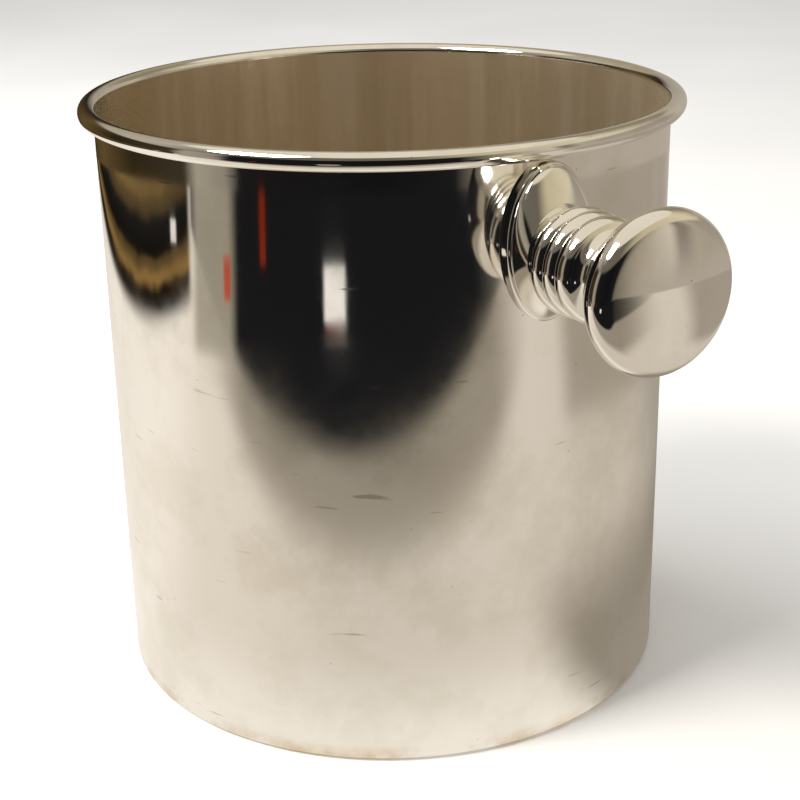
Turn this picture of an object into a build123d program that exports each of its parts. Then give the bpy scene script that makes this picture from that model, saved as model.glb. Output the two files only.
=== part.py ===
from build123d import *
from math import atan2, degrees
import os

# Round champagne bucket with a wired rim and two knob handles, in millimetres.
# The origin is the centre of the base, +Z is up, and the handles lie along +X and -X.

# ---------------------------------------------------------------- driving dimensions
BODY_RADIUS = 100.0        # outside of the straight wall
BODY_HEIGHT = 209.0        # standing ring to the top of the rim bead
SHEET = 1.0                # sheet thickness of the spun body
CORNER_RADIUS = 2.4        # outside radius between wall and base
BASE_RECESS = 1.2          # how far the middle of the base is pushed up
STANDING_RING = 10.0       # width of the ring that the bucket stands on
RECESS_SLOPE = 4.0         # horizontal run of the step up to the recess
RECESS_BEND = 2.0          # outside bend radii at the top and foot of that step
STEP_BEND = 3.0

BEAD_RADIUS = 3.1          # outside radius of the curled edge
CURL_ANGLE = 304.0         # how far the sheet turns round the wire
WIRE_GAP = 0.05            # free space between wire and curl

HANDLE_HEIGHT = 174.5      # height of the handle axis above the base
BRAZE_GAP = 0.05           # filler between a brazed foot and the wall

ROSETTE_HALF_WIDTH = 15.5  # oval foot of the handle, across the wall
ROSETTE_HALF_HEIGHT = 25.2 # and along it
ROSETTE_LIFT = 2.3         # how far the oval sits above the handle's axis
ROSETTE_EDGE = 2.6         # thickness of the rounded edge band
ROSETTE_STEP = 1.0         # how far the dome stands in from the edge band
ROSETTE_RISE = 9.5         # wall to the seat of the neck
ROSETTE_WALL = 1.2
ROSETTE_ROUNDING = 1.2     # rounded corner of the edge band
ROSETTE_SWELL = 1.3        # the larger, the fuller the dome's shoulder
ROSETTE_DEPTH = 3.0        # how far the foot is drawn past the wall before it is trimmed
SEAT_HALF_WIDTH = 13.4     # the dome's flat top, across and along the wall
SEAT_HALF_HEIGHT = 15.6

NECK_FOOT_RADIUS = 13.2
RING_RADII = (16.9, 16.6, 16.4)
RING_WIDTHS = (5.4, 5.6, 6.8)
RING_BULGE = 1.4           # height of a ring above the grooves beside it
NECK_FOOT_RUN = 5.2        # cove between the foot and the first ring
NECK_FOOT_BULGE = 0.4      # how far that cove's line swells beside the foot
COVE_RADIUS = 12.2         # smallest radius of the cove in front of the rings
NECK_END_RADIUS = 14.2
COVE_RUN = 8.0
COVE_MIDDLE = 0.55         # where along a cove its middle point lies

KNOB_RADIUS = 24.6
KNOB_BACK_RUN = 14.5       # back plate to the widest section
KNOB_BACK_DEPTH = 21.0     # depth at which the back's curve would reach the axis
KNOB_BACK_POWER = 1.5      # 2 is an ellipse, less is nearer to a cone
KNOB_FRONT_RISE = 8.0      # widest section to the crown
KNOB_EDGE_RADIUS = 5.5     # rounding between the widest section and the domed front
KNOB_WALL = 1.0

STUD_RADIUS = 3.0
THREAD_GAP = 0.05          # free space between a thread and its hole
BORE_RADIUS = 3.3          # clearance hole for the stud
BOSS_RADIUS = 9.5
SADDLE_THICKNESS = 2.4
SADDLE_INSET_ACROSS = 5.0  # how much smaller than the rosette the saddle is
SADDLE_INSET_ALONG = 7.0
STUD_CHAMFER = 0.6
STUD_START = 2.0           # distance of the stud's inner end from the wall
COUNTERBORE_RADIUS = 8.5   # lightening bore in the back of the neck
COUNTERBORE_DEPTH = 17.0
WASHER_PLAY = 0.2          # free space round the washer in its recess
WASHER_RADIUS = 5.6
WASHER_THICKNESS = 1.3
WASHER_SLOT = 1.2
INSERT_RADIUS = 5.2
INSERT_FLANGE_RADIUS = 8.0
INSERT_FLANGE = 1.6
INSERT_LENGTH = 9.0

# ---------------------------------------------------------------- sizes that follow
BEAD_CENTRE_R = BODY_RADIUS - SHEET + BEAD_RADIUS
BEAD_CENTRE_Z = BODY_HEIGHT - BEAD_RADIUS
NECK_START = ROSETTE_RISE
RINGS_START = NECK_START + NECK_FOOT_RUN
RINGS_END = RINGS_START + sum(RING_WIDTHS)
NECK_END = RINGS_END + COVE_RUN
KNOB_EQUATOR = NECK_END + KNOB_BACK_RUN
KNOB_CROWN = KNOB_EQUATOR + KNOB_FRONT_RISE
PLATE_INNER = NECK_END + KNOB_WALL
STUD_END = PLATE_INNER + INSERT_LENGTH - 1.0


def section(*edges):
    """Face bounded by the given edges, drawn in the XZ plane with X as radius."""
    return make_face(edges)


def revolved(face):
    """Solid turned about the Z axis from half a section."""
    return revolve(face, axis=Axis.Z)


def line(*points):
    """Straight runs through (radius, height) points."""
    return Polyline(*[(radius, 0, height) for radius, height in points])


def arc(*points):
    """Circular arc through three (radius, height) points."""
    return ThreePointArc(*[(radius, 0, height) for radius, height in points])


def tube_hole(radius, start, end):
    """Cylinder on the local Z axis between two heights, used to cut a hole."""
    return Pos(0, 0, start) * Cylinder(
        radius, end - start, align=(Align.CENTER, Align.CENTER, Align.MIN)
    )


# ---------------------------------------------------------------- bucket
def set_off(points, distance):
    """Corners of a line of straight runs, moved to the left of its way by a distance."""
    runs = [(end - start).normalized() for start, end in zip(points, points[1:])]
    normals = [Vector(-run.Y, run.X) for run in runs]
    moved = [points[0] + normals[0] * distance]
    for point, before, after in zip(points[1:-1], normals, normals[1:]):
        moved.append(point + (before + after) * (distance / (1 + before.dot(after))))
    return moved + [points[-1] + normals[-1] * distance]


def bucket_body():
    """Spun shell: recessed base, standing ring, straight wall and curled edge."""
    ring_inner = BODY_RADIUS - STANDING_RING
    corners = [
        Vector(0, BASE_RECESS),
        Vector(ring_inner - RECESS_SLOPE, BASE_RECESS),
        Vector(ring_inner, 0),
        Vector(BODY_RADIUS, 0),
        Vector(BODY_RADIUS, BEAD_CENTRE_Z),
    ]
    outside = FilletPolyline(*corners, radius=[RECESS_BEND, STEP_BEND, CORNER_RADIUS])
    inside = FilletPolyline(
        *set_off(corners, SHEET),
        radius=[RECESS_BEND + SHEET, STEP_BEND - SHEET, CORNER_RADIUS - SHEET],
    )
    centre = (BEAD_CENTRE_R, BEAD_CENTRE_Z)
    facing_wire = CenterArc(centre, BEAD_RADIUS - SHEET, 180, -CURL_ANGLE)
    bead = CenterArc(centre, BEAD_RADIUS, 180, -CURL_ANGLE)
    face = make_face(
        [
            *outside.edges(),
            *inside.edges(),
            facing_wire.edge(),
            bead.edge(),
            Line(outside @ 0, inside @ 0).edge(),
            Line(facing_wire @ 1, bead @ 1).edge(),
        ]
    )
    return revolved(Plane.XZ * face)


def rim_wire():
    """Round wire that the edge of the sheet is curled about."""
    radius = BEAD_RADIUS - SHEET - WIRE_GAP
    circle = Plane.XZ * Pos(BEAD_CENTRE_R, BEAD_CENTRE_Z) * Circle(radius)
    return revolved(circle)


# ---------------------------------------------------------------- handle
# A handle is modelled with its axis on local +Z, counted from the wall, with local X
# across the wall and local Y up it.
def wall_cut(radius):
    """Solid of the bucket's outside at a radius, in the handle's local frame."""
    return Pos(0, 0, -BODY_RADIUS) * Rot(X=90) * Cylinder(radius, BODY_HEIGHT)


def oval(half_width, half_height, height, lift=ROSETTE_LIFT):
    """Oval section of the handle's foot at a height above the wall, lifted off its axis."""
    return Pos(0, lift, height) * (Rot(Z=90) * Ellipse(half_height, half_width))


def dome(inset, base, top):
    """Cushion-shaped solid between two heights, with an inset from the outer surface."""
    sections = []
    wide = (ROSETTE_HALF_WIDTH - ROSETTE_STEP, ROSETTE_HALF_HEIGHT - ROSETTE_STEP)
    seat = (SEAT_HALF_WIDTH, SEAT_HALF_HEIGHT)
    for part in (0.0, 0.25, 0.5, 0.75, 1.0):
        swell = 1 - part**ROSETTE_SWELL
        half_width = seat[0] + (wide[0] - seat[0]) * swell - inset
        half_height = seat[1] + (wide[1] - seat[1]) * swell - inset
        height = base + (top - base) * part
        sections.append(oval(half_width, half_height, height, ROSETTE_LIFT * swell))
    return loft(sections)


def rosette():
    """Hollow oval backplate with a rounded edge band and a cushion-shaped dome."""
    below = ROSETTE_DEPTH
    band = extrude(oval(ROSETTE_HALF_WIDTH, ROSETTE_HALF_HEIGHT, -below), below + ROSETTE_EDGE)
    band = fillet(band.edges().group_by(Axis.Z)[-1], ROSETTE_ROUNDING)
    shell = band + dome(0, ROSETTE_EDGE, ROSETTE_RISE)
    inner_band = extrude(
        oval(
            ROSETTE_HALF_WIDTH - ROSETTE_STEP - ROSETTE_WALL,
            ROSETTE_HALF_HEIGHT - ROSETTE_STEP - ROSETTE_WALL,
            -below,
        ),
        below + ROSETTE_EDGE,
    )
    shell -= inner_band + dome(ROSETTE_WALL, ROSETTE_EDGE, ROSETTE_RISE - ROSETTE_WALL)
    shell -= tube_hole(BORE_RADIUS, 0, ROSETTE_RISE + 1)
    return shell - wall_cut(BODY_RADIUS + BRAZE_GAP)


def anchor():
    """Saddle brazed to the wall under the rosette, with a tapped boss for the stud."""
    saddle = extrude(
        oval(
            ROSETTE_HALF_WIDTH - SADDLE_INSET_ACROSS,
            ROSETTE_HALF_HEIGHT - SADDLE_INSET_ALONG,
            -ROSETTE_DEPTH,
        ),
        ROSETTE_DEPTH + SADDLE_THICKNESS,
    )
    boss = tube_hole(BOSS_RADIUS, -ROSETTE_DEPTH, ROSETTE_RISE - ROSETTE_WALL)
    tapped = tube_hole(STUD_RADIUS + THREAD_GAP, STUD_START, ROSETTE_RISE)
    return saddle + boss - tapped - wall_cut(BODY_RADIUS + BRAZE_GAP)


def stud():
    """Threaded stud from the anchor to the insert in the knob."""
    rod = tube_hole(STUD_RADIUS, STUD_START, STUD_END)
    return chamfer(rod.edges().filter_by(GeomType.CIRCLE), STUD_CHAMFER)


def neck():
    """Turned neck: foot, small cove, three rings and a deeper cove."""
    groove_radii = [radius - RING_BULGE for radius in RING_RADII]
    outline = [
        line((BORE_RADIUS, NECK_START), (NECK_FOOT_RADIUS, NECK_START)),
        arc(
            (NECK_FOOT_RADIUS, NECK_START),
            (NECK_FOOT_RADIUS + NECK_FOOT_BULGE, NECK_START + NECK_FOOT_RUN * COVE_MIDDLE),
            (groove_radii[0], RINGS_START),
        ),
    ]
    height = RINGS_START
    start_radius = groove_radii[0]
    for radius, width in zip(RING_RADII, RING_WIDTHS):
        end_radius = radius - RING_BULGE
        outline.append(
            arc((start_radius, height), (radius, height + width / 2), (end_radius, height + width))
        )
        height += width
        start_radius = end_radius
    outline += [
        arc(
            (start_radius, RINGS_END),
            (COVE_RADIUS, RINGS_END + COVE_RUN * COVE_MIDDLE),
            (NECK_END_RADIUS, NECK_END),
        ),
        line(
            (NECK_END_RADIUS, NECK_END), (BORE_RADIUS, NECK_END), (BORE_RADIUS, NECK_START)
        ),
    ]
    turned = revolved(section(*outline))
    turned -= tube_hole(COUNTERBORE_RADIUS, NECK_START, NECK_START + COUNTERBORE_DEPTH)
    recess = tube_hole(WASHER_RADIUS + WASHER_PLAY, NECK_END - WASHER_THICKNESS, NECK_END)
    return turned - recess


def lock_washer():
    """Split spring washer in the neck's front recess."""
    ring = tube_hole(WASHER_RADIUS, NECK_END - WASHER_THICKNESS, NECK_END)
    ring -= tube_hole(BORE_RADIUS, NECK_END - WASHER_THICKNESS, NECK_END)
    slot = Pos(WASHER_RADIUS, 0, NECK_END) * Box(WASHER_RADIUS, WASHER_SLOT, STUD_RADIUS)
    return ring - slot


def knob_back_point(depth):
    """Radius of the back shell at a depth behind the widest section, and its slope."""
    rest = 1 - (depth / KNOB_BACK_DEPTH) ** KNOB_BACK_POWER
    radius = KNOB_RADIUS * rest ** (1 / KNOB_BACK_POWER)
    slope = (KNOB_RADIUS / KNOB_BACK_DEPTH) ** KNOB_BACK_POWER
    return radius, slope * (depth / radius) ** (KNOB_BACK_POWER - 1)


def knob_back_line(inset):
    """Outline of the back shell from its plate to the widest section, with an inset."""
    points = []
    for share in (1.0, 0.66, 0.33, 0.0):
        depth = KNOB_BACK_RUN * share
        radius, slope = knob_back_point(depth)
        outwards = Vector(1, 0, -slope).normalized()
        points.append(Vector(radius, 0, KNOB_EQUATOR - depth) - outwards * inset)
    _, plate_slope = knob_back_point(KNOB_BACK_RUN)
    return Spline(*points, tangents=[(plate_slope, 0, 1), (0, 0, 1)])


def knob_front_line(inset):
    """Edges of the front shell: a small rounding, then a circular dome to the crown."""
    edge = KNOB_EDGE_RADIUS
    centre_r = KNOB_RADIUS - edge
    rise = KNOB_FRONT_RISE - edge
    below = (centre_r**2 - rise**2) / (2 * rise)
    dome_radius = below + KNOB_FRONT_RISE
    tilt = degrees(atan2(below, centre_r))
    centre_z = KNOB_EQUATOR - below
    rounding = CenterArc((centre_r, KNOB_EQUATOR), edge - inset, 0, tilt)
    front = CenterArc((0, centre_z), dome_radius - inset, tilt, 90 - tilt)
    return [Plane.XZ * rounding.edge(), Plane.XZ * front.edge()]


def knob_back():
    """Back shell of the hollow knob, with a flat plate that meets the neck."""
    outer = knob_back_line(0)
    inner = knob_back_line(KNOB_WALL)
    corner = (inner @ 0).X
    face = section(
        outer,
        Line(outer @ 1, inner @ 1),
        inner,
        Polyline(
            inner @ 0,
            (corner, 0, PLATE_INNER),
            (BORE_RADIUS, 0, PLATE_INNER),
            (BORE_RADIUS, 0, NECK_END),
            outer @ 0,
        ),
    )
    return revolved(face)


def knob_front():
    """Domed front shell of the hollow knob."""
    face = section(
        *knob_front_line(0),
        *knob_front_line(KNOB_WALL),
        line((0, KNOB_CROWN), (0, KNOB_CROWN - KNOB_WALL)),
        line((KNOB_RADIUS, KNOB_EQUATOR), (KNOB_RADIUS - KNOB_WALL, KNOB_EQUATOR)),
    )
    return revolved(face)


def insert():
    """Threaded bush brazed inside the knob's back plate."""
    bush = tube_hole(INSERT_FLANGE_RADIUS, PLATE_INNER, PLATE_INNER + INSERT_FLANGE)
    bush += tube_hole(INSERT_RADIUS, PLATE_INNER, PLATE_INNER + INSERT_LENGTH)
    return bush - tube_hole(STUD_RADIUS + THREAD_GAP, PLATE_INNER, PLATE_INNER + INSERT_LENGTH)


HANDLE_PIECES = {
    "anchor": anchor,
    "stud": stud,
    "rosette": rosette,
    "neck": neck,
    "lock_washer": lock_washer,
    "knob_back": knob_back,
    "knob_front": knob_front,
    "insert": insert,
}
HANDLE_PLACE = Location(
    Plane(origin=(BODY_RADIUS, 0, HANDLE_HEIGHT), x_dir=(0, 1, 0), z_dir=(1, 0, 0))
)


def main():
    """Build every piece and write one file for each."""
    pieces = {"bucket_body": bucket_body(), "rim_wire": rim_wire()}
    for side, turn in (("right", 0), ("left", 180)):
        for name, make in HANDLE_PIECES.items():
            pieces[f"handle_{side}_{name}"] = Rot(Z=turn) * HANDLE_PLACE * make()
    os.makedirs("parts", exist_ok=True)
    for name, piece in pieces.items():
        export_step(piece, f"parts/{name}.step")
        box = piece.bounding_box()
        print(name, len(piece.solids()), round(piece.volume, 2), box.min, box.max)


main()
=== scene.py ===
"""Visual model of a silver-plated champagne bucket with two ringed knob handles.

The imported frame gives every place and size. Each sub-assembly is a class that turns its
own meshes on the handle's or the bucket's axis and dresses them.
"""

import logging
import math
from collections.abc import Sequence
from dataclasses import dataclass, field
from enum import Enum

import bpy
from mathutils import Matrix, Vector

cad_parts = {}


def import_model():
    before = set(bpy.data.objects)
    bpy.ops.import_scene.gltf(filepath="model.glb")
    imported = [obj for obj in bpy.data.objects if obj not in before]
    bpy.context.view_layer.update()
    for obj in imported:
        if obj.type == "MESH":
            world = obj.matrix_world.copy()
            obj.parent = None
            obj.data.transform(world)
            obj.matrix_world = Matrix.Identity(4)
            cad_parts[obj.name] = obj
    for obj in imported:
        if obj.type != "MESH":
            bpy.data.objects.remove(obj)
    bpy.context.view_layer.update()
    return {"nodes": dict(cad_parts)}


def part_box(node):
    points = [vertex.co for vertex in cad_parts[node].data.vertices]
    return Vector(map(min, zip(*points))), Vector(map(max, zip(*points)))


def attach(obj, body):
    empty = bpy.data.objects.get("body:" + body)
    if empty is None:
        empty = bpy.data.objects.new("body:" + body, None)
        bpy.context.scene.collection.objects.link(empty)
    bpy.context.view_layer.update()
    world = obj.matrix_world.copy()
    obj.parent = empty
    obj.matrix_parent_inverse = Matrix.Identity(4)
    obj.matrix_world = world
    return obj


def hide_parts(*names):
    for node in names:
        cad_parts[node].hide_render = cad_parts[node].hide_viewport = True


LOG = logging.getLogger("bucket")
MM = 0.001  # metres in a millimetre
SHEET = 1.0 * MM  # thickness of the spun shell
BEAD = 3.1 * MM  # outside radius of the curled rim
SEAM_WELD = 0.002 * MM  # points closer than this are one point of a mesh
FLOOR_HEIGHT = -0.4 * MM  # the floor lies just below the table that the silver mirrors
MIRRORED_TABLE_HEIGHT = -0.2 * MM

Point = tuple[float, float]
Colour = tuple[float, float, float, float]


class Side(Enum):
    """The two handles, each with its turn about the bucket's axis in degrees."""

    RIGHT = 0.0
    LEFT = 180.0


# ------------------------------------------------------------------ colours and nodes
def paint(hex_code: str) -> Colour:
    """Turn an sRGB colour into the linear one that a shader takes.

    Args:
        hex_code: Six hex digits, with or without a leading hash.

    Returns:
        Linear red, green and blue, and an alpha of 1.
    """
    digits = hex_code.lstrip("#")
    values = [int(digits[i : i + 2], 16) / 255 for i in (0, 2, 4)]
    linear = [v / 12.92 if v <= 0.04045 else ((v + 0.055) / 1.055) ** 2.4 for v in values]
    return (linear[0], linear[1], linear[2], 1.0)


def fill_ramp(ramp: bpy.types.ColorRamp, way: str, stops: Sequence[tuple]) -> None:
    """Give a colour ramp its stops.

    Args:
        ramp: The ramp.
        way: How it runs between stops, EASE or LINEAR.
        stops: Positions from 0 to 1 with their colours, as hex digits or linear.
    """
    stops = [(place, paint(c) if isinstance(c, str) else c) for place, c in stops]
    ramp.interpolation = way
    while len(ramp.elements) > 1:
        ramp.elements.remove(ramp.elements[-1])
    ramp.elements[0].position, ramp.elements[0].color = stops[0]
    for place, colour in stops[1:]:
        ramp.elements.new(place).color = colour


def add_node(
    tree: bpy.types.NodeTree,
    kind: str,
    settings: dict | None = None,
    links: dict | None = None,
) -> bpy.types.Node:
    """Add one node with its settings and its links.

    Args:
        tree: Node tree that gets the node.
        kind: Node type, such as "ShaderNodeMath".
        settings: Attributes by name. A key that is a number, or that names an input
            and no attribute, sets that input's value. EASE or LINEAR gives a colour
            ramp its stops, as positions with colours.
        links: Input name or number to the output socket that feeds it.

    Returns:
        The new node.
    """
    node = tree.nodes.new(kind)
    for key, value in (settings or {}).items():
        if key in ("EASE", "LINEAR"):
            fill_ramp(node.color_ramp, key, value)
        elif isinstance(key, int) or not hasattr(node, key):
            node.inputs[key].default_value = value
        else:
            setattr(node, key, value)
    for key, socket in (links or {}).items():
        tree.links.new(socket, node.inputs[key])
    return node


def grey(value: float) -> Colour:
    """Linear grey of a given value."""
    return (value, value, value, 1.0)


def new_material(name: str) -> tuple[bpy.types.Material, bpy.types.NodeTree]:
    """Make an empty node material.

    Args:
        name: The material's name.

    Returns:
        The material and its node tree.
    """
    material = bpy.data.materials.new(name)
    material.use_nodes = True
    material.node_tree.nodes.clear()
    return material, material.node_tree


def end_metal(
    material: bpy.types.Material,
    metallic: float,
    colour: bpy.types.NodeSocket,
    rough: bpy.types.NodeSocket,
    grain: bpy.types.NodeSocket,
    bump: tuple[float, float],
) -> bpy.types.Material:
    """End a metal's nodes with its bump, its shader and the output.

    Args:
        material: The material to end.
        metallic: Share of bare metal in the surface.
        colour: Its colour.
        rough: Its roughness.
        grain: Height that the bump follows.
        bump: Strength of the bump, and its depth in metres.

    Returns:
        The finished material.
    """
    tree = material.node_tree
    normal = add_node(
        tree,
        "ShaderNodeBump",
        {"Strength": bump[0], "Distance": bump[1]},
        {"Height": grain},
    ).outputs["Normal"]
    shader = add_node(
        tree,
        "ShaderNodeBsdfPrincipled",
        {"Metallic": metallic},
        {"Base Color": colour, "Roughness": rough, "Normal": normal},
    )
    add_node(tree, "ShaderNodeOutputMaterial", links={0: shader.outputs[0]})
    return material


# ------------------------------------------------------------------ finishes
@dataclass(frozen=True)
class SilverPlate:
    """Electroplated silver on brass, spun or turned and then buffed.

    Plate is a clear, faintly warm mirror. Buffing leaves cloudy patches where the mirror
    is duller, hairline scratches, and small pits that hold a little dark tarnish.
    """

    name: str
    face: str = "#F6F3ED"
    cloud: str = "#EEEAE1"
    tarnish: str = "#6B5A42"
    roughness: float = 0.05
    dull_roughness: float = 0.12
    cloud_mm: float = 28.0
    scratch_mm: float = 0.9
    scratch_depth: float = 0.02
    pit_mm: float = 7.0
    pit_size: float = 0.045
    cloud_range: tuple[float, float] = (0.42, 0.66)
    ragged_edge: float = 0.09
    haze_height: float = 0.0
    haze_roughness: float = 0.0
    wear_height: float = 0.0
    worn_through: str = "#C7A56B"
    scuff_mm: float = 0.0
    scuff_strength: float = 0.4

    def build(self) -> bpy.types.Material:
        """Make the material.

        Returns:
            The finished material.
        """
        material, tree = new_material(self.name)
        place = add_node(tree, "ShaderNodeTexCoord").outputs["Object"]
        clouds = add_node(
            tree,
            "ShaderNodeTexNoise",
            {"Scale": 1 / (self.cloud_mm * MM), "Detail": 5.0, "Roughness": 0.6},
            {"Vector": place},
        ).outputs["Fac"]
        # Hairlines run up the piece, as a polishing cloth leaves them.
        drawn = add_node(
            tree,
            "ShaderNodeMapping",
            {"Scale": (1.0, 1.0, 0.06)},
            {"Vector": place},
        ).outputs["Vector"]
        hairs = add_node(
            tree,
            "ShaderNodeTexNoise",
            {"Scale": 1 / (self.scratch_mm * MM), "Detail": 3.0, "Roughness": 0.7},
            {"Vector": drawn},
        ).outputs["Fac"]
        pits = add_node(
            tree,
            "ShaderNodeTexVoronoi",
            {"Scale": 1 / (self.pit_mm * MM), "Randomness": 1.0},
            {"Vector": place},
        ).outputs["Distance"]
        pit_mask = add_node(
            tree,
            "ShaderNodeValToRGB",
            {"LINEAR": [(0.0, grey(1.0)), (self.pit_size, grey(0.0))]},
            {0: pits},
        ).outputs["Color"]
        start, end = self.cloud_range
        cloudy = add_node(
            tree,
            "ShaderNodeValToRGB",
            {"EASE": [(start, grey(0.0)), (end, grey(1.0))]},
            {0: clouds},
        ).outputs["Color"]
        base = add_node(
            tree,
            "ShaderNodeMix",
            {"data_type": "RGBA", 6: paint(self.face), 7: paint(self.cloud)},
            {0: cloudy},
        ).outputs[2]
        pitted = add_node(
            tree,
            "ShaderNodeMix",
            {"data_type": "RGBA", 7: paint(self.tarnish)},
            {0: pit_mask, 6: base},
        ).outputs[2]
        dull = add_node(
            tree,
            "ShaderNodeMapRange",
            {1: 0.35, 2: 0.7, 3: self.roughness, 4: self.dull_roughness},
            {0: clouds},
        ).outputs[0]
        height = add_node(tree, "ShaderNodeSeparateXYZ", links={0: place}).outputs["Z"]
        if self.haze_height:
            dull = self.add_haze(tree, dull, clouds, height)
        if self.wear_height:
            pitted = self.add_wear(tree, pitted, cloudy, height)
        if self.scuff_mm:
            pitted, dull = self.add_scuffs(tree, pitted, dull, place)
        bump = (self.scratch_depth, 0.05 * MM)
        return end_metal(material, 1.0, pitted, dull, hairs, bump)

    def add_haze(
        self,
        tree: bpy.types.NodeTree,
        dull: bpy.types.NodeSocket,
        clouds: bpy.types.NodeSocket,
        height: bpy.types.NodeSocket,
    ) -> bpy.types.NodeSocket:
        """Dull the plate towards the foot, with a ragged upper edge.

        Args:
            tree: Node tree of the material.
            dull: Roughness so far.
            clouds: Noise that makes the edge ragged.
            height: Height above the underside.

        Returns:
            The new roughness.
        """
        ragged = add_node(
            tree,
            "ShaderNodeMath",
            {"operation": "MULTIPLY_ADD", 1: -self.ragged_edge},
            {0: clouds, 2: height},
        ).outputs[0]
        haze = add_node(
            tree,
            "ShaderNodeMapRange",
            {1: 0.0, 2: self.haze_height, 3: self.haze_roughness, 4: 0.0},
            {0: ragged},
        ).outputs[0]
        return add_node(
            tree, "ShaderNodeMath", {"operation": "ADD"}, {0: dull, 1: haze}
        ).outputs[0]

    def add_wear(
        self,
        tree: bpy.types.NodeTree,
        colour: bpy.types.NodeSocket,
        cloudy: bpy.types.NodeSocket,
        height: bpy.types.NodeSocket,
    ) -> bpy.types.NodeSocket:
        """Let the brass show in patches at the foot.

        Args:
            tree: Node tree of the material.
            colour: Colour so far.
            cloudy: Mask of the patches.
            height: Height above the underside.

        Returns:
            The new colour.
        """
        worn = add_node(
            tree,
            "ShaderNodeMapRange",
            {1: self.wear_height, 2: 0.0, 3: 0.0, 4: 0.75},
            {0: height},
        ).outputs[0]
        patchy = add_node(
            tree, "ShaderNodeMath", {"operation": "MULTIPLY"}, {0: worn, 1: cloudy}
        ).outputs[0]
        return add_node(
            tree,
            "ShaderNodeMix",
            {"data_type": "RGBA", 7: paint(self.worn_through)},
            {0: patchy, 6: colour},
        ).outputs[2]

    def add_scuffs(
        self,
        tree: bpy.types.NodeTree,
        colour: bpy.types.NodeSocket,
        dull: bpy.types.NodeSocket,
        place: bpy.types.NodeSocket,
    ) -> tuple[bpy.types.NodeSocket, bpy.types.NodeSocket]:
        """Rub a few long, slanting scuffs, darker and duller than the plate.

        Args:
            tree: Node tree of the material.
            colour: Colour so far.
            dull: Roughness so far.
            place: Place on the piece.

        Returns:
            The new colour and roughness.
        """
        slanting = add_node(
            tree,
            "ShaderNodeMapping",
            {"Rotation": (0.35, 0.2, 0.0), "Scale": (0.12, 0.12, 1.0)},
            {"Vector": place},
        ).outputs["Vector"]
        rubbed = add_node(
            tree,
            "ShaderNodeTexNoise",
            {"Scale": 1 / (self.scuff_mm * MM), "Detail": 1.5, "Roughness": 0.4},
            {"Vector": slanting},
        ).outputs["Fac"]
        scuffs = add_node(
            tree,
            "ShaderNodeValToRGB",
            {"LINEAR": [(0.735, grey(0.0)), (0.8, grey(self.scuff_strength))]},
            {0: rubbed},
        ).outputs["Color"]
        darker = add_node(
            tree,
            "ShaderNodeMix",
            {"data_type": "RGBA", 7: paint(self.tarnish)},
            {0: scuffs, 6: colour},
        ).outputs[2]
        duller = add_node(
            tree,
            "ShaderNodeMath",
            {"operation": "MULTIPLY_ADD", 1: 0.3},
            {0: scuffs, 2: dull},
        ).outputs[0]
        return darker, duller


@dataclass(frozen=True)
class SatinSilver:
    """Silver plate inside the bucket: scoured by ice, satin and warm with tarnish.

    The scouring runs up and down, so highlights are drawn out into soft upright streaks.
    """

    name: str
    face: str = "#E0D4BF"
    deep: str = "#D2C3A6"
    roughness: float = 0.22
    dirt: float = 0.12
    streak_mm: float = 14.0

    def build(self) -> bpy.types.Material:
        """Make the material.

        Returns:
            The finished material.
        """
        material, tree = new_material(self.name)
        place = add_node(tree, "ShaderNodeTexCoord").outputs["Object"]
        upright = add_node(
            tree, "ShaderNodeMapping", {"Scale": (1.0, 1.0, 0.08)}, {"Vector": place}
        ).outputs["Vector"]
        streaks = add_node(
            tree,
            "ShaderNodeTexNoise",
            {"Scale": 1 / (self.streak_mm * MM), "Detail": 4.0, "Roughness": 0.6},
            {"Vector": upright},
        ).outputs["Fac"]
        fine = add_node(
            tree,
            "ShaderNodeTexNoise",
            {"Scale": 1 / (0.8 * MM), "Detail": 2.0},
            {"Vector": upright},
        ).outputs["Fac"]
        colour = add_node(
            tree,
            "ShaderNodeValToRGB",
            {"EASE": [(0.35, self.deep), (0.68, self.face)]},
            {0: streaks},
        ).outputs["Color"]
        rough = add_node(
            tree,
            "ShaderNodeMapRange",
            {1: 0.3, 2: 0.7, 3: self.roughness * 0.9, 4: self.roughness * 1.1},
            {0: streaks},
        ).outputs[0]
        bump = (0.12, 0.08 * MM)
        return end_metal(material, 1.0 - self.dirt, colour, rough, fine, bump)


@dataclass(frozen=True)
class BareMetal:
    """Unplated fittings inside the handle: cast brass or drawn steel.

    Casting and drawing leave a fine grain, with darker oxide in its hollows.
    """

    name: str
    face: str
    oxide: str
    roughness: float
    grain_mm: float

    def build(self) -> bpy.types.Material:
        """Make the material.

        Returns:
            The finished material.
        """
        material, tree = new_material(self.name)
        place = add_node(tree, "ShaderNodeTexCoord").outputs["Object"]
        grain = add_node(
            tree,
            "ShaderNodeTexNoise",
            {"Scale": 1 / (self.grain_mm * MM), "Detail": 6.0},
            {"Vector": place},
        ).outputs["Fac"]
        colour = add_node(
            tree,
            "ShaderNodeValToRGB",
            {"EASE": [(0.3, self.oxide), (0.62, self.face)]},
            {0: grain},
        ).outputs["Color"]
        rough = add_node(
            tree,
            "ShaderNodeMapRange",
            {1: 0.3, 2: 0.7, 3: self.roughness * 1.3, 4: self.roughness * 0.8},
            {0: grain},
        ).outputs[0]
        return end_metal(material, 1.0, colour, rough, grain, (0.3, 0.1 * MM))


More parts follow.
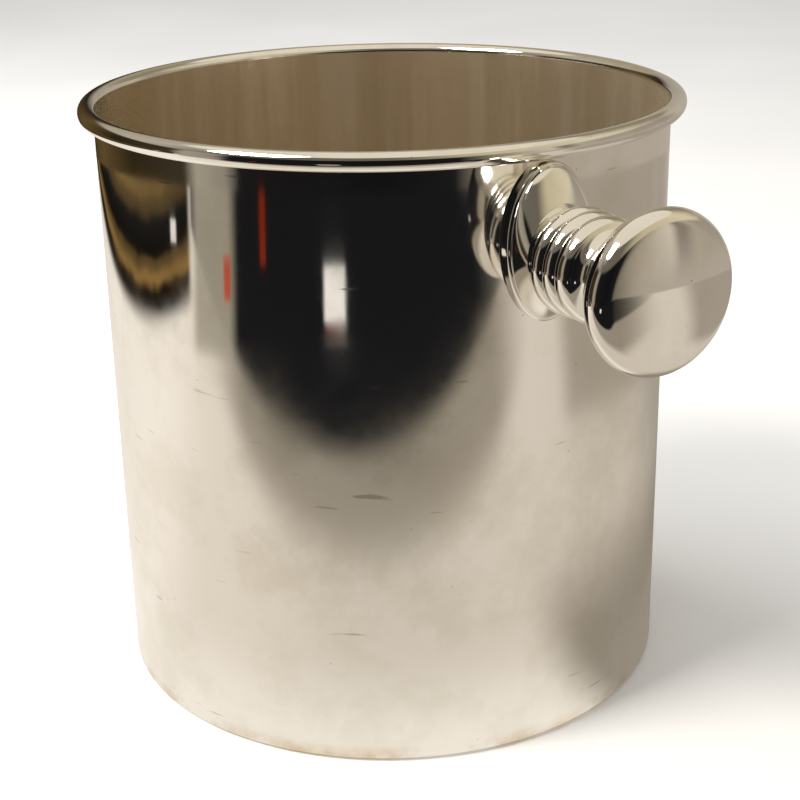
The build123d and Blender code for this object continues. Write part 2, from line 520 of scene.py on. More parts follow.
# ------------------------------------------------------------------ lines to turn
def arc_points(
    centre: Point, radius: float, start: float, end: float, steps: int
) -> list[Point]:
    """Points along a circular arc in the (radius, height) plane.

    Args:
        centre: The arc's centre.
        radius: Its radius.
        start: First angle in degrees, counted from the outward direction.
        end: Last angle in degrees.
        steps: Number of chords.

    Returns:
        The points, both ends among them.
    """
    angles = [math.radians(start + (end - start) * i / steps) for i in range(steps + 1)]
    return [
        (centre[0] + radius * math.cos(a), centre[1] + radius * math.sin(a)) for a in angles
    ]


def three_point_arc(first: Point, middle: Point, last: Point, steps: int) -> list[Point]:
    """Points along the circle through three points.

    Args:
        first: Where the arc starts.
        middle: A point that it passes.
        last: Where it ends.
        steps: Number of chords.

    Returns:
        The points, both ends among them.
    """
    (ax, ay), (bx, by), (cx, cy) = first, middle, last
    turn = 2 * (ax * (by - cy) + bx * (cy - ay) + cx * (ay - by))
    sa, sb, sc = ax * ax + ay * ay, bx * bx + by * by, cx * cx + cy * cy
    ux = (sa * (by - cy) + sb * (cy - ay) + sc * (ay - by)) / turn
    uy = (sa * (cx - bx) + sb * (ax - cx) + sc * (bx - ax)) / turn
    angles = [math.atan2(y - uy, x - ux) for x, y in (first, middle, last)]
    full = 2 * math.pi
    sweep = (angles[2] - angles[0]) % full
    if (angles[1] - angles[0]) % full > sweep:
        sweep -= full
    radius = math.hypot(ax - ux, ay - uy)
    return [
        (
            ux + radius * math.cos(angles[0] + sweep * i / steps),
            uy + radius * math.sin(angles[0] + sweep * i / steps),
        )
        for i in range(steps + 1)
    ]


def joined(*lines: list[Point]) -> list[Point]:
    """Join lines end to end, without the points that they share.

    Args:
        lines: Lines in order.

    Returns:
        One line.
    """
    whole: list[Point] = []
    for line in lines:
        for point in line:
            if not whole or math.dist(whole[-1], point) > SEAM_WELD:
                whole.append(point)
    return whole


# ------------------------------------------------------------------ modelling steps
def clear_selection() -> None:
    """Deselect everything and leave no object active."""
    bpy.ops.object.select_all(action="DESELECT")
    bpy.context.view_layer.objects.active = None


def make_active(piece: bpy.types.Object) -> None:
    """Select one object alone and make it active."""
    clear_selection()
    piece.select_set(True)
    bpy.context.view_layer.objects.active = piece


def turn_line(name: str, line: list[Point], steps: int) -> bpy.types.Object:
    """Turn a line about the Z axis into a closed skin.

    A single point is extruded along the line and then spun, as on a lathe.

    Args:
        name: The piece's name.
        line: (radius, height) points in metres.
        steps: Number of steps round the axis.

    Returns:
        The turned piece, with its place in its mesh.
    """
    clear_selection()
    start = (line[0][0], 0.0, line[0][1])
    bpy.ops.mesh.primitive_plane_add(size=MM, location=start)
    piece = bpy.context.object
    piece.name = piece.data.name = name
    bpy.ops.object.mode_set(mode="EDIT")
    bpy.ops.mesh.select_all(action="SELECT")
    bpy.ops.mesh.merge(type="CENTER")
    for (r0, z0), (r1, z1) in zip(line, line[1:]):
        bpy.ops.mesh.extrude_region_move(
            TRANSFORM_OT_translate={"value": (r1 - r0, 0.0, z1 - z0)}
        )
    bpy.ops.mesh.select_all(action="SELECT")
    bpy.ops.mesh.spin(
        steps=steps,
        angle=2 * math.pi,
        center=(0, 0, 0),
        axis=(0, 0, 1),
        use_auto_merge=False,
    )
    bpy.ops.mesh.select_all(action="SELECT")
    bpy.ops.mesh.remove_doubles(threshold=SEAM_WELD)
    bpy.ops.mesh.normals_make_consistent(inside=False)
    bpy.ops.object.mode_set(mode="OBJECT")
    bpy.ops.object.transform_apply(location=True, rotation=True, scale=True)
    return piece


def shade(piece: bpy.types.Object, angle: float) -> None:
    """Smooth a piece's faces, but not over edges sharper than the angle in degrees."""
    make_active(piece)
    bpy.ops.object.shade_smooth_by_angle(angle=math.radians(angle))


def settle(piece: bpy.types.Object, place: Matrix) -> None:
    """Put a piece in place and leave its object at the origin, unturned."""
    make_active(piece)
    piece.matrix_world = place
    bpy.ops.object.transform_apply(location=True, rotation=True, scale=True)


def dress(piece: bpy.types.Object, *materials: bpy.types.Material) -> None:
    """Give a piece its materials, in slot order."""
    piece.data.materials.clear()
    for material in materials:
        piece.data.materials.append(material)


# ------------------------------------------------------------------ bucket
@dataclass
class Bucket:
    """Spun shell of the bucket: base, wall and wired rim, outside and inside."""

    sheet: float = SHEET
    bead: float = BEAD
    corner: float = 2.4 * MM
    recess: float = 1.2 * MM
    ring_width: float = 10.0 * MM
    slope_run: float = 4.0 * MM
    curl: float = 304.0
    steps: int = 288
    body: str = "root"
    pieces: list[bpy.types.Object] = field(default_factory=list)

    def __post_init__(self) -> None:
        """Read the wall's radius and the height from the frame."""
        _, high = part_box("bucket_body")
        self.height = high.z
        self.radius = high.x - 2 * self.bead + self.sheet

    def base_line(self, lift: float, corner: float) -> list[Point]:
        """Line from the middle of the base to the top of the corner.

        Args:
            lift: Height of this skin above the underside.
            corner: Radius of the corner between base and wall on this skin.

        Returns:
            Points from the axis outwards.
        """
        inner = self.radius - self.ring_width
        bend = 1.2 * MM
        wall = self.radius - lift
        middle = [(self.radius * i / 12, self.recess + lift) for i in range(11)]
        middle = [p for p in middle if p[0] < inner - self.slope_run - bend]
        step = [
            (inner - self.slope_run - bend, self.recess + lift),
            (inner - self.slope_run, self.recess + lift - 0.08 * MM),
            (inner - self.slope_run * 0.5, self.recess * 0.5 + lift),
            (inner, lift + 0.08 * MM),
            (inner + bend, lift),
        ]
        foot = [(wall - corner - 3 * MM, lift)]
        turn = arc_points((wall - corner, lift + corner), corner, -90, 0, 10)
        return joined(middle, step, foot, turn)

    def wall_line(self, radius: float, low: float, high: float) -> list[Point]:
        """Upright line with even divisions between two heights."""
        parts = 24
        return [(radius, low + (high - low) * i / parts) for i in range(parts + 1)]

    def line(self) -> list[Point]:
        """Whole section of the sheet, up the outside and back down the inside.

        Returns:
            Points from the underside's middle to the floor's middle.
        """
        centre = (self.radius - self.sheet + self.bead, self.height - self.bead)
        outside = joined(
            self.base_line(0.0, self.corner),
            self.wall_line(self.radius, self.corner, centre[1] - self.bead * 1.2),
        )
        tuck = arc_points(centre, self.bead, 180 - self.curl, 180, 60)
        inner_tuck = arc_points(centre, self.bead - self.sheet, 180 - self.curl, 180, 30)
        inside = joined(
            self.wall_line(self.radius - self.sheet, self.corner, centre[1])
        )
        floor = self.base_line(self.sheet, self.corner - self.sheet)
        hidden = list(reversed(inner_tuck))
        return joined(
            outside,
            [(self.radius, centre[1])],
            hidden,
            tuck,
            list(reversed(inside)),
            list(reversed(floor)),
        )

    def build(self) -> None:
        """Turn the shell and put it in the frame."""
        shell = turn_line("bucket_shell", self.line(), self.steps)
        shade(shell, 40)
        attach(shell, self.body)
        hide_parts("bucket_body")
        self.pieces.append(shell)

    def inside_faces(self, shell: bpy.types.Object) -> None:
        """Give the faces of the inside wall and floor the second material."""
        edge = self.radius - self.sheet * 0.5
        top = self.height - self.bead
        for face in shell.data.polygons:
            middle = face.center
            reach = math.hypot(middle.x, middle.y)
            inward = face.normal.x * middle.x + face.normal.y * middle.y < 0
            floor = face.normal.z > 0.5 and middle.z < 3 * self.sheet
            if (reach < edge and inward and middle.z < top) or floor:
                face.material_index = 1

    def finish(self) -> None:
        """Dress the shell: mirror outside, satin inside."""
        shell = self.pieces[0]
        outside = SilverPlate(
            "spun_silver_plate",
            roughness=0.035,
            dull_roughness=0.08,
            haze_height=0.13,
            haze_roughness=0.15,
            wear_height=0.006,
            scuff_mm=2.4,
        )
        dress(shell, outside.build(), SatinSilver("ice_scoured_silver").build())
        self.inside_faces(shell)
        LOG.info("%s: %d faces", shell.name, len(shell.data.polygons))


# ------------------------------------------------------------------ handle
@dataclass
class Handle:
    """Knob handle: oval foot, ringed neck and hollow knob, on a line from the wall."""

    side: Side
    foot_edge: float = 2.6 * MM
    foot_step: float = 1.0 * MM
    foot_rounding: float = 1.2 * MM
    swell: float = 1.3
    seat_across: float = 13.4 * MM
    seat_along: float = 15.6 * MM
    wall_gap: float = 0.05 * MM
    ring_radii: tuple[float, ...] = (16.9 * MM, 16.6 * MM, 16.4 * MM)
    ring_widths: tuple[float, ...] = (5.4 * MM, 5.6 * MM, 6.8 * MM)
    ring_bulge: float = 1.4 * MM
    neck_foot: float = 13.2 * MM
    neck_foot_run: float = 5.2 * MM
    neck_bulge: float = 0.4 * MM
    cove: float = 12.2 * MM
    neck_end: float = 14.2 * MM
    cove_middle: float = 0.55
    back_depth: float = 21.0 * MM
    back_power: float = 1.5
    edge_radius: float = 5.5 * MM
    bore: float = 3.3 * MM
    steps: int = 192
    body: str = "root"
    pieces: list[bpy.types.Object] = field(default_factory=list)

    def __post_init__(self) -> None:
        """Read the handle's runs from the frame, counted from the wall along its axis."""
        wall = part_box("bucket_body")[1].x - 2 * BEAD + SHEET
        self.wall_radius = wall
        self.axis_height = sum(c.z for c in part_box("handle_right_knob_front")) / 2
        low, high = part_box("handle_right_rosette")
        self.foot_across = high.y
        self.foot_along = (high.z - low.z) / 2
        self.foot_lift = (high.z + low.z) / 2 - self.axis_height
        self.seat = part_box("handle_right_neck")[0].x - wall
        self.neck_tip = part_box("handle_right_neck")[1].x - wall
        self.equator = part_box("handle_right_knob_front")[0].x - wall
        self.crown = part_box("handle_right_knob_front")[1].x - wall
        self.knob_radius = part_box("handle_right_knob_front")[1].y

    def place(self) -> Matrix:
        """Matrix from the handle's own axes to the frame.

        Returns:
            Local Z along the handle from the wall, X across the wall and Y up it.
        """
        local = Matrix(
            (
                (0, 0, 1, self.wall_radius),
                (1, 0, 0, 0),
                (0, 1, 0, self.axis_height),
                (0, 0, 0, 1),
            )
        )
        return Matrix.Rotation(math.radians(self.side.value), 4, "Z") @ local

    def node(self, part: str) -> str:
        """Name of one of this handle's nodes."""
        return f"handle_{self.side.name.lower()}_{part}"

    def keep(self, piece: bpy.types.Object, part: str, angle: float) -> None:
        """Shade a finished piece, settle it in the frame and let it ride.

        Args:
            piece: The piece in the handle's own axes.
            part: The node that it stands for, without the handle's name.
            angle: Edges sharper than this many degrees stay crisp.
        """
        settle(piece, self.place())
        shade(piece, angle)
        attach(piece, self.body)
        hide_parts(self.node(part))
        self.pieces.append(piece)

    def foot_sections(self) -> list[tuple[float, float, Vector]]:
        """Half width, half height and centre of the foot's oval sections.

        The oval sits a little above the handle's axis at the wall, and is centred on the
        axis at the neck's seat.

        Returns:
            Sections from the wall to the neck's seat.
        """
        across, along, lift = self.foot_across, self.foot_along, self.foot_lift
        round_off = self.foot_rounding
        sections = [
            (across, along, Vector((0, lift, -1.4 * MM))),
            (across, along, Vector((0, lift, self.foot_edge - round_off))),
        ]
        for step in range(1, 9):
            turn = math.radians(90 * step / 8)
            inset = round_off * (1 - math.cos(turn))
            rise = self.foot_edge - round_off * (1 - math.sin(turn))
            sections.append((across - inset, along - inset, Vector((0, lift, rise))))
        wide = (across - self.foot_step, along - self.foot_step)
        dome_rise = self.seat - self.foot_edge
        for step in range(0, 25):
            part = (step / 24) ** 0.8  # closer sections near the neck's seat
            full = 1 - part**self.swell
            sections.append(
                (
                    self.seat_across + (wide[0] - self.seat_across) * full,
                    self.seat_along + (wide[1] - self.seat_along) * full,
                    Vector((0, lift * full, self.foot_edge + dome_rise * part)),
                )
            )
        return sections

    def build_foot(self) -> None:
        """Raise the oval foot ring by ring from the wall to the neck's seat."""
        clear_selection()
        sections = self.foot_sections()
        across, along, start = sections[0]
        bpy.ops.mesh.primitive_circle_add(
            vertices=self.steps, radius=1.0, fill_type="NOTHING", location=start
        )
        piece = bpy.context.object
        piece.name = piece.data.name = self.node("foot")
        bpy.ops.object.mode_set(mode="EDIT")
        bpy.ops.mesh.select_all(action="SELECT")
        bpy.ops.transform.resize(value=(across, along, 1.0), center_override=start)
        for before, after in zip(sections, sections[1:]):
            bpy.ops.mesh.extrude_region_move(
                TRANSFORM_OT_translate={"value": after[2] - before[2]}
            )
            scale = (after[0] / before[0], after[1] / before[1], 1.0)
            bpy.ops.transform.resize(value=scale, center_override=after[2])
        bpy.ops.mesh.extrude_region_move()
        inner = self.bore / self.seat_across, self.bore / self.seat_along, 1.0
        bpy.ops.transform.resize(value=inner, center_override=sections[-1][2])
        bpy.ops.mesh.select_all(action="SELECT")
        bpy.ops.mesh.remove_doubles(threshold=SEAM_WELD)
        bpy.ops.mesh.normals_make_consistent(inside=False)
        bpy.ops.object.mode_set(mode="OBJECT")
        bpy.ops.object.transform_apply(location=True, rotation=True, scale=True)
        # The lowest ring follows the round wall.
        reach = self.wall_radius + self.wall_gap
        for vertex in piece.data.vertices:
            if vertex.co.z < 0:
                vertex.co.z = math.sqrt(reach**2 - vertex.co.x**2) - self.wall_radius
        self.keep(piece, "rosette", 32)

    def neck_line(self) -> list[Point]:
        """Outline of the neck from its foot over the rings to the knob."""
        lines = [[(self.bore, self.seat), (self.neck_foot, self.seat)]]
        radius = self.ring_radii[0] - self.ring_bulge
        height = self.seat + self.neck_foot_run
        middle = (
            self.neck_foot + self.neck_bulge,
            self.seat + self.neck_foot_run * self.cove_middle,
        )
        lines.append(
            three_point_arc((self.neck_foot, self.seat), middle, (radius, height), 10)
        )
        for crest, width in zip(self.ring_radii, self.ring_widths):
            end = (crest - self.ring_bulge, height + width)
            lines.append(
                three_point_arc((radius, height), (crest, height + width / 2), end, 16)
            )
            radius, height = end
        run = self.neck_tip - height
        middle = (self.cove, height + run * self.cove_middle)
        lines.append(
            three_point_arc((radius, height), middle, (self.neck_end, self.neck_tip), 20)
        )
        lines.append([(self.neck_end, self.neck_tip), (self.bore, self.neck_tip)])
        return joined(*lines)

    def knob_lines(self) -> tuple[list[Point], list[Point]]:
        """Outlines of the knob's back and front shells, each ending at the widest section.

        Returns:
            The back line, from the bore outwards, and the front line, to the crown.
        """
        run = self.equator - self.neck_tip
        back = [(self.bore, self.neck_tip)]
        parts = 28
        for i in range(parts + 1):
            depth = run * (1 - i / parts) ** 1.5
            rest = 1 - (depth / self.back_depth) ** self.back_power
            back.append(
                (self.knob_radius * rest ** (1 / self.back_power), self.equator - depth)
            )
        edge = self.edge_radius
        centre_r = self.knob_radius - edge
        rise = self.crown - self.equator - edge
        below = (centre_r**2 - rise**2) / (2 * rise)
        tilt = math.degrees(math.atan2(below, centre_r))
        rounding = arc_points((centre_r, self.equator), edge, 0, tilt, 12)
        dome = arc_points(
            (0.0, self.equator - below), below + self.crown - self.equator, tilt, 90, 32
        )
        return back, joined(rounding, dome)

    def build(self) -> None:
        """Model foot, neck and both shells of the knob."""
        self.build_foot()
        back, front = self.knob_lines()
        for name, line, part, angle in (
            ("ringed_neck", self.neck_line(), "neck", 28),
            ("knob_back_shell", back, "knob_back", 40),
            ("knob_front_shell", front, "knob_front", 40),
        ):
            self.keep(turn_line(self.node(name), line, self.steps), part, angle)

    def finish(self, plate: bpy.types.Material) -> None:
        """Dress every piece of the handle in polished plate."""
        for piece in self.pieces:
            dress(piece, plate)
            LOG.info("%s: %d faces", piece.name, len(piece.data.polygons))


@dataclass
class HiddenFittings:
    """CAD nodes that stay as they are and only get a better material."""

    nodes: dict[str, bpy.types.Object]

    def finish(self) -> None:
        """Dress the brass and steel fittings."""
        brass = BareMetal("cast_brass", "#C9A35C", "#7A5C2E", 0.34, 0.6).build()
        steel = BareMetal("drawn_steel", "#B9B7B2", "#6E6C69", 0.28, 0.4).build()
        for name, node in self.nodes.items():
            if name.endswith(("stud", "lock_washer")):
                dress(node, steel)
            elif name.endswith(("anchor", "insert")) or name == "rim_wire":
                dress(node, brass)


# ------------------------------------------------------------------ mirrored room
Step = tuple[bpy.types.NodeSocket, float, float]


@dataclass(frozen=True)
class Patch:
    """A plain thing on the mirrored table or past it, by its turn and its reach."""

    colour: str
    left: float
    right: float
    near: float
    far: float
    blur: float = 0.004
    strength: float = 1.0


# Things on the glowing mirrored table and past it, and painted shadow on the right and
# close round the foot.
TABLE_PATCHES = (
    Patch("#A29A8A", 0.3, 0.335, 0.5, 2.0, blur=0.014, strength=0.9),  # pale post
    Patch("#F2EEE6", 0.441, 0.458, 0.575, 0.69),  # upright white card
    Patch("#7A3522", 0.441, 0.456, 0.558, 0.566, blur=0.003),  # its warm foot
    Patch("#E9E4DA", 0.262, 0.267, 0.72, 0.78, blur=0.003),  # small white card
    Patch("#7F7668", 0.665, 0.95, 0.0, 0.135, blur=0.06, strength=0.85),  # close shade
    Patch("#8A2C14", 0.374, 0.378, 0.69, 2.0, blur=0.002, strength=0.8),  # red cord
    Patch("#B8401E", 0.332, 0.338, 0.6, 0.7, blur=0.002, strength=0.9),  # red handle
    Patch("#A69C8F", 0.7, 0.84, 0.4, 2.0, blur=0.03),  # shade on the right
)
TABLE_ROUND = (
    (0.0, "#D8CEC2"),
    (0.14, "#F7EFE4"),
    (0.24, "#FBF3E8"),
    (0.33, "#E6DCCF"),
    (0.5, "#D6CDC0"),
    (0.64, "#D9CFC3"),
    (0.75, "#CBC1B4"),
    (0.88, "#A79E92"),
    (1.0, "#D8CEC2"),
)
GILDED_BANDS = (
    (0.62, "#1A1611"),
    (0.65, "#8A6C3E"),
    (0.69, "#5A482B"),
    (0.72, "#15130F"),
    (0.8, "#1B1A19"),
    (0.86, "#54442B"),
    (0.93, "#7D6640"),
    (1.0, "#3A3020"),
)
WALL_ROUND = (
    (0.0, "#A39A8C"),
    (0.04, "#2A241A"),
    (0.12, "#5E4C2E"),
    (0.2, "#2E2618"),
    (0.284, "#3A3226"),
    (0.3, "#A29A8A"),
    (0.335, "#8F887B"),
    (0.352, "#1C1A1A"),
    (0.5, "#131315"),
    (0.57, "#1B1B1D"),
    (0.625, "#A79D8C"),
    (0.665, "#CFC6B6"),
    (0.676, "#8A8174"),
    (0.684, "#8A8174"),
    (0.7, "#B3A998"),
    (0.72, "#A69C90"),
    (0.84, "#A0968B"),
    (0.87, "#BDB4A6"),
    (1.0, "#A39A8C"),
)
CEILING_ROUND = (
    (0.0, "#A59A80"),
    (0.2, "#B3AA9B"),
    (0.35, "#6A655C"),
    (0.5, "#6B6558"),
    (0.62, "#C8BC9E"),
    (0.75, "#D9CFB4"),
    (0.9, "#8D846F"),
    (1.0, "#A59A80"),
)


@dataclass
class RoomPaint:
    """Glowing colours on a thing that only the silver mirrors: painted reflections, which
    carry a room's light and shade painted in.

    Turn runs once round the bucket from 0 to 1, and is 0.5 in front and less on the
    left. Reach is the distance from the bucket's axis, and height that from its base.
    """

    name: str
    azimuth: float

    def __post_init__(self) -> None:
        """Make the empty material and the sockets that give a place."""
        self.material, tree = new_material(self.name)
        self.tree = tree
        place = add_node(tree, "ShaderNodeTexCoord").outputs["Object"]
        self.place = add_node(
            tree,
            "ShaderNodeMapping",
            {"Rotation": (0.0, 0.0, -math.radians(self.azimuth))},
            {"Vector": place},
        ).outputs["Vector"]
        parts = add_node(tree, "ShaderNodeSeparateXYZ", links={0: self.place})
        right, away, self.height = parts.outputs
        front = add_node(
            tree, "ShaderNodeMath", {"operation": "MULTIPLY", 1: -1.0}, {0: away}
        ).outputs[0]
        angle = add_node(
            tree,
            "ShaderNodeMath",
            {"operation": "ARCTAN2"},
            {0: right, 1: front},
        ).outputs[0]
        self.turn = add_node(
            tree,
            "ShaderNodeMapRange",
            {1: -math.pi, 2: math.pi, 3: 0.0, 4: 1.0},
            {0: angle},
        ).outputs[0]
        flat = add_node(
            tree,
            "ShaderNodeVectorMath",
            {"operation": "MULTIPLY", 1: (1, 1, 0)},
            {0: self.place},
        ).outputs[0]
        self.reach = add_node(
            tree, "ShaderNodeVectorMath", {"operation": "LENGTH"}, {0: flat}
        ).outputs["Value"]

    def region(self, *steps: Step, strength: float = 1.0) -> bpy.types.NodeSocket:
        """Mask of the places where every soft step lets a colour through.

        Args:
            steps: Socket, the value where its step is 0, and the value where it is 1.
            strength: The mask's greatest value.

        Returns:
            The mask.
        """
        mask = None
        for value, start, end in steps:
            low, high = (0.0, 1.0) if end > start else (1.0, 0.0)
            settings = {"interpolation_type": "SMOOTHSTEP", 3: low, 4: high}
            settings |= {1: min(start, end), 2: max(start, end)}
            step = add_node(self.tree, "ShaderNodeMapRange", settings, {0: value})
            if mask is None:
                mask = step.outputs[0]
            else:
                mask = add_node(
                    self.tree,
                    "ShaderNodeMath",
                    {"operation": "MULTIPLY"},
                    {0: mask, 1: step.outputs[0]},
                ).outputs[0]
        if strength == 1.0:
            return mask
        settings = {"operation": "MULTIPLY", 1: strength}
        return add_node(self.tree, "ShaderNodeMath", settings, {0: mask}).outputs[0]

    def cover(
        self,
        under: bpy.types.NodeSocket,
        over: bpy.types.NodeSocket | str,
        *steps: Step,
        strength: float = 1.0,
    ) -> bpy.types.NodeSocket:
        """Lay one colour over another where every step lets it.

        Args:
            under: Colour below.
            over: Colour above, as a socket or as hex digits.
            steps: Soft steps, as region takes them.
            strength: How strongly the upper colour covers.

        Returns:
            The mixed colour.
        """
        links = {0: self.region(*steps, strength=strength), 6: under}
        settings = {"data_type": "RGBA"}
        if isinstance(over, str):
            settings[7] = paint(over)
        else:
            links[7] = over
        return add_node(self.tree, "ShaderNodeMix", settings, links).outputs[2]

    def glow(
        self, colour: bpy.types.NodeSocket, strength: bpy.types.NodeSocket | None = None
    ) -> bpy.types.Material:
        """Let the colour shine, and give the finished material."""
        links = {"Color": colour} | ({"Strength": strength} if strength else {})
        light = add_node(self.tree, "ShaderNodeEmission", {"Strength": 1.0}, links)
        add_node(self.tree, "ShaderNodeOutputMaterial", links={0: light.outputs[0]})
        return self.material


# ------------------------------------------------------------------ studio
@dataclass
class Studio:
    """Floor, soft lights, the glowing room that the silver mirrors as a painted reflection,
    and the camera.
    """

    azimuth: float = 60.5
    lens: float = 72.95
    distance: float = 0.56767
    height: float = 0.3106
    pitch: float = 0.36729
    yaw: float = 0.00747
    roll: float = -0.018581
    room_radius: float = 0.9
    table_slant: float = 0.25
    shade_slant: float = 0.14
    band_stir: float = 0.06
    lamp_strength: float = 6.0

    def turned(self) -> Matrix:
        """Turn from the studio's own axes, where the camera looks along +Y."""
        return Matrix.Rotation(math.radians(self.azimuth), 4, "Z")

    def add_camera(self) -> None:
        """Place the camera a little above the rim, looking down into the bucket."""
        cp, sp = math.cos(self.pitch), math.sin(self.pitch)
        cy, sy = math.cos(self.yaw), math.sin(self.yaw)
        forward = Vector((sy * cp, cy * cp, -sp))
        right = Vector((cy, -sy, 0))
        up = right.cross(forward)
        cr, sr = math.cos(self.roll), math.sin(self.roll)
        tilted_right = cr * right + sr * up
        tilted_up = -sr * right + cr * up
        local = Matrix(
            (
                (tilted_right.x, tilted_up.x, -forward.x, 0),
                (tilted_right.y, tilted_up.y, -forward.y, -self.distance),
                (tilted_right.z, tilted_up.z, -forward.z, self.height),
                (0, 0, 0, 1),
            )
        )
        data = bpy.data.cameras.new("camera")
        data.sensor_width = 36.0
        data.lens = self.lens
        camera = bpy.data.objects.new("camera", data)
        bpy.context.scene.collection.objects.link(camera)
        camera.matrix_world = self.turned() @ local
        bpy.context.scene.camera = camera

    def add_floor(self) -> None:
        """Lay a wide, plain, pale floor that the camera sees and the silver doesn't."""
        clear_selection()
        bpy.ops.mesh.primitive_circle_add(
            vertices=96, radius=9.0, fill_type="NGON", location=(0, 0, FLOOR_HEIGHT)
        )
        floor = bpy.context.object
        floor.name = "floor"
        material, tree = new_material("pale_floor")
        place = add_node(tree, "ShaderNodeTexCoord").outputs["Object"]
        mottled = add_node(
            tree, "ShaderNodeTexNoise", {"Scale": 3.0, "Detail": 2.0}, {"Vector": place}
        ).outputs["Fac"]
        colour = add_node(
            tree,
            "ShaderNodeValToRGB",
            {"EASE": [(0.3, "#EDECEA"), (0.7, "#F3F2F0")]},
            {0: mottled},
        ).outputs["Color"]
        shader = add_node(
            tree, "ShaderNodeBsdfPrincipled", {"Roughness": 0.9}, {"Base Color": colour}
        )
        add_node(tree, "ShaderNodeOutputMaterial", links={0: shader.outputs[0]})
        dress(floor, material)
        floor.visible_glossy = False

    def only_mirrored(self, thing: bpy.types.Object) -> None:
        """Show a thing in the silver alone: no shadow, no light and not to the camera."""
        thing.visible_camera = False
        thing.visible_diffuse = False
        thing.visible_shadow = False

    def table_material(self) -> bpy.types.Material:
        """Glowing pale table, a painted reflection with painted shade and painted light on
        it, and a dark room beyond its front edge, as the wall mirrors it.
        """
        coat = RoomPaint("mirrored_table", self.azimuth)
        tree, turn, reach = coat.tree, coat.turn, coat.reach
        colour = add_node(
            tree, "ShaderNodeValToRGB", {"EASE": TABLE_ROUND}, {0: turn}
        ).outputs["Color"]
        # How far a place lies towards the shade's line, the table's front edge and its
        # left edge. The table stands aslant, and its edges are square to each other.
        shade_line, front_edge, left_edge = (
            add_node(
                tree,
                "ShaderNodeVectorMath",
                {"operation": "DOT_PRODUCT", 1: direction},
                {0: coat.place},
            ).outputs["Value"]
            for direction in (
                (-self.shade_slant, -1.0, 0.0),
                (-self.table_slant, -1.0, 0.0),
                (-1.0, self.table_slant, 0.0),
            )
        )
        # Light gathers close round the foot.
        colour = coat.cover(colour, "#FFF9EF", (reach, 0.175, 0.105), strength=0.8)
        # Soft shade of whoever stands at the table's front.
        colour = coat.cover(
            colour,
            "#948B7D",
            (shade_line, 0.225, 0.29),
            (turn, 0.3, 0.36),
            (turn, 0.65, 0.6),
            strength=0.92,
        )
        # Past the table's left edge stand dark things with gilded bands.
        streaks = add_node(
            tree,
            "ShaderNodeTexNoise",
            {"Scale": 9.0, "Detail": 4.0},
            {"Vector": coat.place},
        ).outputs["Fac"]
        stirred = add_node(
            tree,
            "ShaderNodeMath",
            {"operation": "MULTIPLY_ADD", 1: self.band_stir},
            {0: streaks, 2: left_edge},
        ).outputs[0]
        bands = add_node(
            tree, "ShaderNodeValToRGB", {"EASE": GILDED_BANDS}, {0: stirred}
        ).outputs["Color"]
        colour = coat.cover(
            colour,
            bands,
            (left_edge, 0.505, 0.56),
            (turn, 0.02, 0.06),
            (turn, 0.292, 0.284),
        )
        # The room past the table's front edge is dark.
        colour = coat.cover(
            colour,
            "#19191B",
            (front_edge, 0.362, 0.39),
            (turn, 0.288, 0.292),
            (turn, 0.655, 0.585),
        )
        for patch in TABLE_PATCHES:
            colour = coat.cover(
                colour,
                patch.colour,
                (turn, patch.left - patch.blur, patch.left),
                (turn, patch.right + patch.blur, patch.right),
                (reach, patch.near - 2 * patch.blur, patch.near),
                (reach, patch.far + 2 * patch.blur, patch.far),
                strength=patch.strength,
            )
        return coat.glow(colour)

    def wall_material(self) -> bpy.types.Material:
        """Glowing room round the table, a painted reflection: dark in front, pale behind, a
        light ceiling above.
        """
        coat = RoomPaint("mirrored_room", self.azimuth)
        tree, turn, height = coat.tree, coat.turn, coat.height
        colour, ceiling = (
            add_node(tree, "ShaderNodeValToRGB", stops, {0: turn}).outputs["Color"]
            for stops in ({"LINEAR": WALL_ROUND}, {"EASE": CEILING_ROUND})
        )
        # The right side's foot runs softly into the table.
        colour = coat.cover(colour, "#B4AA9D", (height, 0.3, 0.0), (turn, 0.6, 0.64))
        colour = coat.cover(colour, ceiling, (height, 0.5, 0.62))
        colour = coat.cover(colour, "#E4DCCB", (height, 1.02, 1.1))
        # Small warm lamps hang below the ceiling.
        spots = add_node(
            tree,
            "ShaderNodeTexVoronoi",
            {"Scale": 1.5, "Randomness": 0.8},
            {"Vector": coat.place},
        ).outputs["Distance"]
        lamps = ((spots, 0.075, 0.05), (height, 0.85, 0.95))
        colour = coat.cover(colour, "#FFD79A", *lamps)
        strength = add_node(
            tree,
            "ShaderNodeMath",
            {"operation": "MULTIPLY_ADD", 1: self.lamp_strength, 2: 1.0},
            {0: coat.region(*lamps)},
        ).outputs[0]
        return coat.glow(colour, strength)

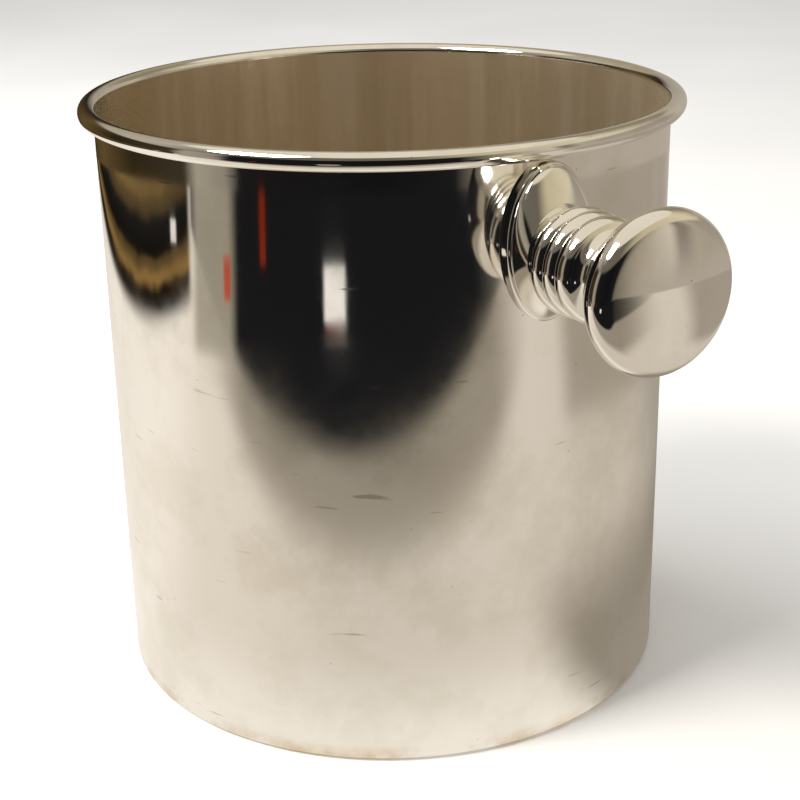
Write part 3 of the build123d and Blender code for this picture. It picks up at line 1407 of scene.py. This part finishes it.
    def add_room(self) -> None:
        """Set up the table, the room and its ceiling that only the silver mirrors."""
        clear_selection()
        bpy.ops.mesh.primitive_circle_add(
            vertices=128,
            radius=self.room_radius,
            fill_type="NGON",
            location=(0, 0, MIRRORED_TABLE_HEIGHT),
        )
        table = bpy.context.object
        table.name = "mirrored_table"
        dress(table, self.table_material())
        self.only_mirrored(table)
        line = [
            (self.room_radius, MIRRORED_TABLE_HEIGHT),
            (self.room_radius, 0.7),
            (self.room_radius * 0.8, 1.1),
            (self.room_radius * 0.4, 1.3),
            (0.0, 1.35),
        ]
        room = turn_line("mirrored_room", line, 64)
        shade(room, 60)
        dress(room, self.wall_material())
        self.only_mirrored(room)

    def add_light(
        self, name: str, place: tuple, size: tuple, watts: float, tint: str
    ) -> None:
        """Add a soft rectangular light that points at the bucket's middle.

        Args:
            name: The light's name.
            place: Where it hangs, in the studio's own axes.
            size: Its width and height in metres.
            watts: Its power.
            tint: Its colour as hex digits.
        """
        data = bpy.data.lights.new(name, "AREA")
        data.shape = "RECTANGLE"
        data.size, data.size_y = size
        data.energy = watts
        data.color = paint(tint)[:3]
        light = bpy.data.objects.new(name, data)
        bpy.context.scene.collection.objects.link(light)
        light.location = self.turned() @ Vector(place)
        aim = Vector((0, 0, 0.12)) - light.location
        light.rotation_euler = aim.to_track_quat("-Z", "Y").to_euler()

    def add_world(self) -> None:
        """Fill the studio with an even, pale light."""
        world = bpy.data.worlds.new("studio_air")
        bpy.context.scene.world = world
        world.use_nodes = True
        background = world.node_tree.nodes["Background"]
        background.inputs["Color"].default_value = paint("#F4F3F1")
        background.inputs["Strength"].default_value = 0.75

    def build(self) -> None:
        """Set up the whole studio."""
        self.add_camera()
        self.add_floor()
        self.add_room()
        self.add_light("window_light", (-0.62, -0.36, 0.95), (0.46, 0.46), 14.0, "#FFFBF4")
        self.add_light("fill_light", (-0.9, 0.5, 1.2), (1.0, 1.0), 12.0, "#FFFFFF")
        self.add_world()
        bpy.context.scene.view_settings.view_transform = "Standard"


def main() -> None:
    """Load the frame, build every sub-assembly in order and report it."""
    logging.basicConfig(level=logging.INFO, format="%(message)s")
    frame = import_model()
    Studio().build()
    bucket = Bucket()
    bucket.build()
    bucket.finish()
    plate = SilverPlate("turned_silver_plate", roughness=0.03, dull_roughness=0.06).build()
    for side in Side:
        handle = Handle(side)
        handle.build()
        handle.finish(plate)
    HiddenFittings(frame["nodes"]).finish()


if __name__ == "__main__":
    main()
